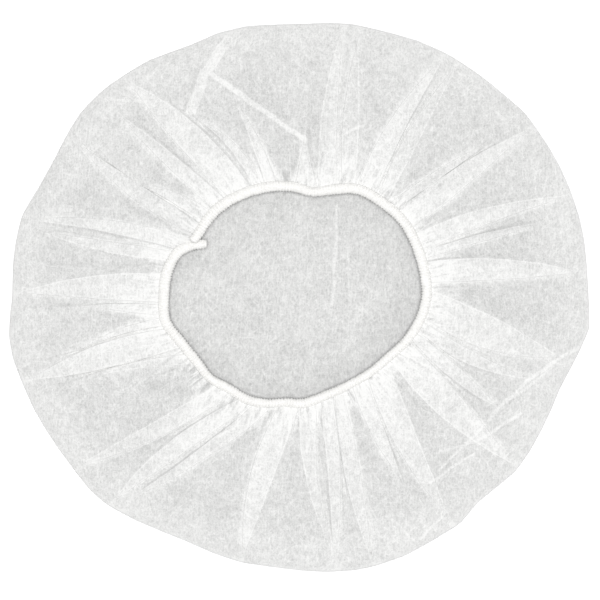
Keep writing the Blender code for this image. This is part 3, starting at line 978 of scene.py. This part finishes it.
# %% [markdown]
# ## The overlock thread
#
# An overlocker closes the hem with two threads that show. The looper thread zigzags over it,
# from the needle line on the outer side to the inner edge and back, once a stitch. The needle
# thread makes a row of short stitches along the needle line. Both are thin tubes laid on the
# hem's surface, so they follow its puckers and its overlap.

# %% Sew the threads
THREAD_RADIUS = 0.13 * MM
THREAD_SIDES = 6
NEEDLE_LINE_DEG = 38
INNER_EDGE_DEG = 205
POINTS_A_ZIGZAG = 16
POINTS_A_STITCH = 6


def tube(name, points, radius, sides):
    """A closed tube of even radius along a list of points."""
    points = np.asarray(points)
    forward = np.gradient(points, axis=0)
    forward /= np.linalg.norm(forward, axis=1)[:, None]
    side = np.cross(forward[0], [0, 0, 1.0])
    side /= np.linalg.norm(side)
    turns = 2 * pi * np.arange(sides) / sides
    places = []
    for place, ahead in zip(points, forward):
        side = side - ahead * (side @ ahead)
        side /= np.linalg.norm(side)
        up = np.cross(side, ahead)
        places.append(place + radius * (np.cos(turns)[:, None] * side + np.sin(turns)[:, None] * up))
    faces = []
    for i in range(len(points) - 1):
        for k in range(sides):
            m = (k + 1) % sides
            faces.append((i * sides + k, i * sides + m, (i + 1) * sides + m, (i + 1) * sides + k))
    faces.append(tuple(range(sides))[::-1])
    faces.append(tuple(range((len(points) - 1) * sides, len(points) * sides)))
    obj = make_mesh(name, np.concatenate(places), faces)
    face_out(obj)
    return obj


def sew_looper():
    count = STITCHES - 2
    t = np.arange(count * POINTS_A_ZIGZAG + 1) / POINTS_A_ZIGZAG
    swing = 0.5 - 0.5 * np.cos(2 * pi * t)
    at = (t + 1) * STITCH + 0.25 * STITCH * np.sin(2 * pi * t)
    loose = 0.04 * MM + 0.1 * MM * (0.5 + 0.5 * np.sin(4 * pi * t + 1.3 * np.sin(t)))
    turn_deg = lerp(NEEDLE_LINE_DEG, INNER_EDGE_DEG, swing) + 5 * np.sin(1.7 * t)
    return tube("overlock_looper", hem_surface(at, turn_deg, loose), THREAD_RADIUS, THREAD_SIDES)


def sew_needle_line():
    count = STITCHES - 2
    t = np.arange(count * POINTS_A_STITCH + 1) / POINTS_A_STITCH
    proud = 0.12 * MM - 0.28 * MM * np.abs(np.cos(pi * t)) ** 6
    at = (t + 1) * STITCH
    turn_deg = NEEDLE_LINE_DEG + 2.5 * np.sin(0.9 * t)
    return tube("overlock_needle", hem_surface(at, turn_deg, proud), THREAD_RADIUS, THREAD_SIDES)


looper = sew_looper()
needle = sew_needle_line()
for piece in (looper, needle):
    piece.data.calc_loop_triangles()
    print(piece.name, "triangles:", len(piece.data.loop_triangles))

# %% [markdown]
# ## Writing materials as sums
#
# A material here is a formula: so much for the layers, so much for the creases, a little noise.
# Written as nodes it would be hard to read, so a small class wraps a socket and turns sums and
# products into Math nodes. Colours and vectors go through Mix and Vector Math nodes, because a
# Math node would turn a colour grey.

# %% Sockets that can be added and multiplied
class Wire:
    """An output socket, or a plain number, that takes part in sums and products."""

    def __init__(self, look, socket):
        self.look, self.socket = look, socket

    def math(self, operation, *values, clamp=False):
        settings = {"operation": operation, "use_clamp": clamp}
        return self.look.node("ShaderNodeMath", settings, dict(enumerate((self, *values))))

    def __add__(self, other):
        return self.math("ADD", other)

    def __radd__(self, other):
        return self.math("ADD", other)

    def __sub__(self, other):
        return self.math("SUBTRACT", other)

    def __rsub__(self, other):
        return self.look.node("ShaderNodeMath", {"operation": "SUBTRACT"}, {0: other, 1: self})

    def __mul__(self, other):
        return self.math("MULTIPLY", other)

    def __rmul__(self, other):
        return self.math("MULTIPLY", other)

    def __truediv__(self, other):
        return self.math("DIVIDE", other)

    def __pow__(self, other):
        return self.math("POWER", other)

    def clamped(self):
        return self.math("ADD", 0.0, clamp=True)

    def ridge(self):
        """1 where noise of 0 to 1 crosses its middle, falling off to 0 on both sides."""
        return 1 - (self * 2 - 1).math("ABSOLUTE")


class Look:
    """One material's nodes, ending in a Principled shader."""

    def __init__(self, name):
        self.material = bpy.data.materials.new(name)
        self.material.use_nodes = True
        self.tree = self.material.node_tree
        self.shader = self.tree.nodes["Principled BSDF"]

    def node(self, kind, settings=(), sockets=(), output=0):
        node = self.tree.nodes.new(kind)
        for name, value in dict(settings).items():
            setattr(node, name, value)
        for key, value in dict(sockets).items():
            self.feed(node.inputs[key], value)
        return Wire(self, node.outputs[output])

    def feed(self, socket, value):
        if isinstance(value, Wire):
            self.tree.links.new(value.socket, socket)
        else:
            socket.default_value = value

    def number(self, name):
        """A number that the mesh carries."""
        return self.node("ShaderNodeAttribute", {"attribute_name": name}, output="Fac")

    def place(self):
        return self.node("ShaderNodeTexCoord", output="Object")

    def vector(self, operation, *values, output="Vector"):
        settings = {"operation": operation}
        return self.node("ShaderNodeVectorMath", settings, dict(enumerate(values)), output)

    def noise(self, place, size, detail=2.0, roughness=0.5, distortion=0.0):
        """Noise of 0 to 1 with lumps of about the given size in metres."""
        sockets = {"Vector": place, "Scale": 1 / size, "Detail": detail, "Roughness": roughness}
        sockets["Distortion"] = distortion
        return self.node("ShaderNodeTexNoise", {}, sockets, "Fac")

    def mix(self, factor, low, high):
        """A colour between two colours."""
        settings = {"data_type": "RGBA", "clamp_factor": True}
        return self.node("ShaderNodeMix", settings, {0: factor, 6: low, 7: high}, output=2)

    def finish(self, **sockets):
        for name, value in sockets.items():
            self.feed(self.shader.inputs[name.replace("_", " ")], value)
        return self.material


print("materials are written as formulas")

# %% [markdown]
# ## The web
#
# Spunbond web is a felt of endless fibres, laid more in one direction than across. Seen from
# half a metre it is a cloudy white with fine mottling, and from close by single fibres curl
# over each other. So the colour mixes a thin tone and a thick tone. The layers, the creases, the
# clouds and some painted light push it towards the thick one, painted shade pulls it back, and
# thin ridges of distorted noise draw the fibres.

# %% Make the web's material
THIN_WEB = (0.425, 0.427, 0.422, 1)
THICK_WEB = (0.745, 0.745, 0.737, 1)
MACHINE_STRETCH = (1.0, 0.22, 1.0)
FIBRE_TURNS_DEG = (8, 52, -38, 95)
MOUTH_REACH = 70 * MM


def crease_marks(look, place, rows):
    """Bright thin lines along the crossing creases."""
    flat = look.vector("MULTIPLY", place, (1, 1, 0))
    wander = look.node("ShaderNodeTexNoise", {}, {"Vector": flat, "Scale": 1 / (22 * MM)}, "Color")
    shift = look.vector("MULTIPLY_ADD", wander, (0.004, 0.004, 0), (-0.002, -0.002, 0))
    flat = look.vector("ADD", flat, shift)
    total = None
    for row in rows:
        start = Vector((row.start_x_mm, row.start_y_mm)) * MM + CENTRE
        end = Vector((row.end_x_mm, row.end_y_mm)) * MM + CENTRE
        run = end - start
        relative = look.vector("SUBTRACT", flat, (*start, 0))
        at = look.vector("DOT_PRODUCT", relative, (*run.normalized(), 0), output="Value")
        at = at.math("MAXIMUM", 0.0).math("MINIMUM", run.length)
        nearest = look.node(
            "ShaderNodeVectorMath", {"operation": "SCALE"}, {0: (*run.normalized(), 0), "Scale": at}
        )
        away = look.vector("DISTANCE", relative, nearest, output="Value")
        mark = ((1 - away / (row.half_width_mm * MM)) * row.crispness).clamped() * row.tone
        total = mark if total is None else total.math("MAXIMUM", mark)
    return total


def fibre_lines(look, place, turn_deg):
    """Thin bright lines, long in one direction and slightly curled: 1 on a fibre, else 0."""
    turned = look.node(
        "ShaderNodeVectorRotate",
        {"rotation_type": "Z_AXIS"},
        {"Vector": place, "Angle": radians(turn_deg)},
        "Vector",
    )
    drawn_out = look.vector("MULTIPLY", turned, (1.0, 0.13, 1.0))
    return look.noise(drawn_out, 1.5 * MM, 1, 0.5, 0.6).ridge() ** 16


def gather_lines(look, place):
    """Ridges that run outwards from the mouth, a few millimetres apart: 1 on a ridge, else 0."""
    from_middle = look.vector("MULTIPLY", look.vector("SUBTRACT", place, (*CENTRE, 0)), (1, 1, 0))
    distance = look.vector("LENGTH", from_middle, output="Value")
    way = look.vector("NORMALIZE", from_middle)
    around = look.node("ShaderNodeVectorMath", {"operation": "SCALE"}, {0: way, "Scale": MOUTH_REACH})
    lifted = look.node("ShaderNodeCombineXYZ", {}, {"Z": distance * 0.16})
    return look.noise(look.vector("ADD", around, lifted), 3.4 * MM, 2, 0.6, 0.4).ridge() ** 3


def make_web():
    look = Look("nonwoven web")
    place = look.place()
    plies, crease_mark = look.number("plies"), look.number("crease")
    shade, tone, front_share = look.number("shade"), look.number("tone"), look.number("front")
    gather, folds = look.number("gather"), gather_lines(look, place)
    stretched = look.vector("MULTIPLY", place, MACHINE_STRETCH)

    clouds = look.noise(place, 26 * MM, 2) - 0.5
    patches = look.noise(place, 3.8 * MM, 2, 0.6) - 0.5
    mottle = look.noise(place, 1.1 * MM, 2, 0.6) - 0.5
    streaks = look.noise(stretched, 0.85 * MM, 2, 0.6) - 0.5
    hairs = None
    for turn_deg in FIBRE_TURNS_DEG:
        hair = fibre_lines(look, place, turn_deg)
        hairs = hair if hairs is None else hairs.math("MAXIMUM", hair)
    crinkle = look.noise(place, 17 * MM, 2, 0.5, 0.6).ridge() ** 24

    marks = crease_marks(look, place, FRONT_CREASES) * front_share
    marks = marks + crease_marks(look, place, BACK_CREASES) * (1 - front_share)
    # Painted shade and light: shade darkens flats and small hollows near the hem; tone lightens the outer
    # edge; plies lightens narrow flats; crease lightens each open crease's foot; near the hem the gathers'
    # ridges whiten as bunched cloth while their valleys get painted shade.
    density_and_shading = 0.24 + front_share * 0.05 + plies * 0.16 + crease_mark * 0.22
    density_and_shading = density_and_shading + marks * 0.4 - shade * 0.3 + tone + gather * (folds * 1.1 - 0.4)
    density_and_shading = density_and_shading + clouds * 0.3 + patches * 0.5 + mottle * 0.7 + streaks * 0.8
    density_and_shading = density_and_shading + hairs * 0.4 + crinkle * 0.12
    colour = look.mix(density_and_shading.clamped(), THIN_WEB, THICK_WEB)

    relief = hairs * 0.8 + mottle * 0.7 + crinkle * 1.2 + gather * folds * 3
    bump = look.node(
        "ShaderNodeBump", {}, {"Strength": 0.35, "Distance": 0.12 * MM, "Height": relief}, "Normal"
    )
    look.shader.inputs["Sheen Weight"].default_value = 0.35
    look.shader.inputs["Sheen Roughness"].default_value = 0.5
    look.shader.inputs["Specular IOR Level"].default_value = 0.25
    rough = 0.78 + (mottle + streaks) * 0.12
    return look.finish(Base_Color=colour, Roughness=rough, Normal=bump)


cap_sheet.data.materials.append(make_web())
print("web material nodes:", len(cap_sheet.data.materials[0].node_tree.nodes))

# %% [markdown]
# ## Hem and thread finishes
#
# The hem is the same web, but several layers thick and bunched by the stitches, so it is
# whiter and a shade warmer. Its material paints shade into the needle holes and into the valley
# at each stitch, and paints light onto the swell between two stitches. The thread is spun
# polyester with a fine twist, a little glossier than the web.

# %% Make the hem's and the thread's materials
HEM_LOW = (0.60, 0.596, 0.583, 1)
HEM_HIGH = (0.84, 0.835, 0.82, 1)
THREAD_LOW = (0.73, 0.725, 0.71, 1)
THREAD_HIGH = (0.84, 0.835, 0.82, 1)


def make_hem_look():
    look = Look("rolled hem")
    place = look.place()
    pucker_shading = (look.number("along_mm") * (2 * pi * MM / STITCH)).math("COSINE")
    mottle = look.noise(place, 0.9 * MM, 3, 0.65)
    lumps = look.noise(place, 3.5 * MM, 2)
    hole_shade = look.noise(place, 1.3 * MM, 1).ridge() ** 10
    # Painted shade in the needle holes and in the valley at each stitch, and painted light on the swell
    # between two stitches.
    density_and_shading = 0.1 + mottle * 0.9 + lumps * 0.5 - pucker_shading * 0.12 - hole_shade * 0.3
    relief = mottle + look.noise(place, 0.5 * MM, 2) * 0.5
    bump = look.node(
        "ShaderNodeBump", {}, {"Strength": 0.5, "Distance": 0.2 * MM, "Height": relief}, "Normal"
    )
    look.shader.inputs["Sheen Weight"].default_value = 0.15
    look.shader.inputs["Specular IOR Level"].default_value = 0.25
    colour = look.mix(density_and_shading.clamped(), HEM_LOW, HEM_HIGH)
    return look.finish(Base_Color=colour, Roughness=0.82 - mottle * 0.1, Normal=bump)


def make_thread_look():
    look = Look("overlock thread")
    place = look.place()
    twist = look.noise(place, 0.35 * MM, 2)
    relief = look.noise(place, 0.12 * MM, 1)
    bump = look.node(
        "ShaderNodeBump", {}, {"Strength": 0.4, "Distance": 0.03 * MM, "Height": relief}, "Normal"
    )
    look.shader.inputs["Sheen Weight"].default_value = 0.1
    colour = look.mix(twist, THREAD_LOW, THREAD_HIGH)
    return look.finish(Base_Color=colour, Roughness=0.5 + twist * 0.2, Normal=bump)


hem.data.materials.append(make_hem_look())
thread_look = make_thread_look()
for piece in (looper, needle):
    piece.data.materials.append(thread_look)
print("materials:", [material.name for material in bpy.data.materials if material.users])

# %% [markdown]
# ## Tie the pieces to the frame
#
# The sheet stands for the crown's solid and the hem for the band's solid, and both solids are
# hidden. The threads ride along, and all four pieces are tied to the root body. The sheet
# was cut as a round of 537 mm, gathered on its hem, and its back layer lies on the floor.

for piece, slot in ((cap_sheet, "nonwoven"), (hem, "hem"), (looper, "hem"), (needle, "hem")):
    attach(piece, "root")
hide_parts("crown")
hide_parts("elastic_band")

# %% [markdown]
# ## Floor
#
# The floor is a wide plain sheet, pale enough to come out white under the lamp, so that the
# cap's soft outline is all that stands against it.

# %% Lay the floor
FLOOR_WIDTH = 12.0


def make_floor():
    bpy.ops.mesh.primitive_plane_add(size=FLOOR_WIDTH, location=(0, 0, 0))
    floor = bpy.context.active_object
    floor.name = "floor"
    look = Look("pale floor")
    grain = look.noise(look.place(), 0.4, 2)
    colour = look.mix(grain, (0.93, 0.93, 0.93, 1), (0.95, 0.95, 0.95, 1))
    look.shader.inputs["Specular IOR Level"].default_value = 0.0
    floor.data.materials.append(look.finish(Base_Color=colour, Roughness=0.9))
    return floor


deselect()
make_floor()
print("floor width in metres:", FLOOR_WIDTH)

# %% [markdown]
# ## Light
#
# A soft box right above, where the camera is, hides most of each fold's shadow under the fold,
# as the light of a copy stand does. A second one, lower and to the lower right, is much weaker
# and gives each fold a lit side. A pale world fills what both leave dark.

# %% Hang the lamps
WORLD_LIGHT = 0.42


def soft_box(name, place, size, watts):
    data = bpy.data.lights.new(name, "AREA")
    data.shape = "SQUARE"
    data.size = size
    data.energy = watts
    lamp = bpy.data.objects.new(name, data)
    lamp.location = place
    lamp.rotation_euler = (-Vector(place)).to_track_quat("-Z", "Y").to_euler()
    bpy.context.scene.collection.objects.link(lamp)
    return lamp


soft_box("top_box", (0.0, 0.0, 2.4), 0.5, 50)
soft_box("side_box", (0.9, -1.1, 1.7), 1.0, 3)
world = bpy.data.worlds.new("studio")
world.use_nodes = True
world.node_tree.nodes["Background"].inputs["Color"].default_value = (1, 1, 1, 1)
world.node_tree.nodes["Background"].inputs["Strength"].default_value = WORLD_LIGHT
bpy.context.scene.world = world
bpy.context.scene.view_settings.view_transform = "Standard"
print("lamps:", [obj.name for obj in bpy.data.objects if obj.type == "LIGHT"])

# %% [markdown]
# ## Camera
#
# The picture was taken from straight above with a long lens, so the camera looks down from
# 1.6 m, and the picture's width spans 360 mm at half the height of the outer turn. Its middle is
# a little off the cap's.

# %% Set the camera
PICTURE_WIDTH = 0.360
CAMERA_HEIGHT = 1.6
SENSOR = 36.0
PICTURE_MIDDLE = (0.5 * MM, -1.5 * MM)

camera_data = bpy.data.cameras.new("camera")
camera_data.sensor_width = SENSOR
camera_data.lens = SENSOR * (CAMERA_HEIGHT - TURN_HEIGHT / 2) / PICTURE_WIDTH
camera = bpy.data.objects.new("camera", camera_data)
camera.location = (*PICTURE_MIDDLE, CAMERA_HEIGHT)
bpy.context.scene.collection.objects.link(camera)
bpy.context.scene.camera = camera
print("lens in mm:", round(camera_data.lens))
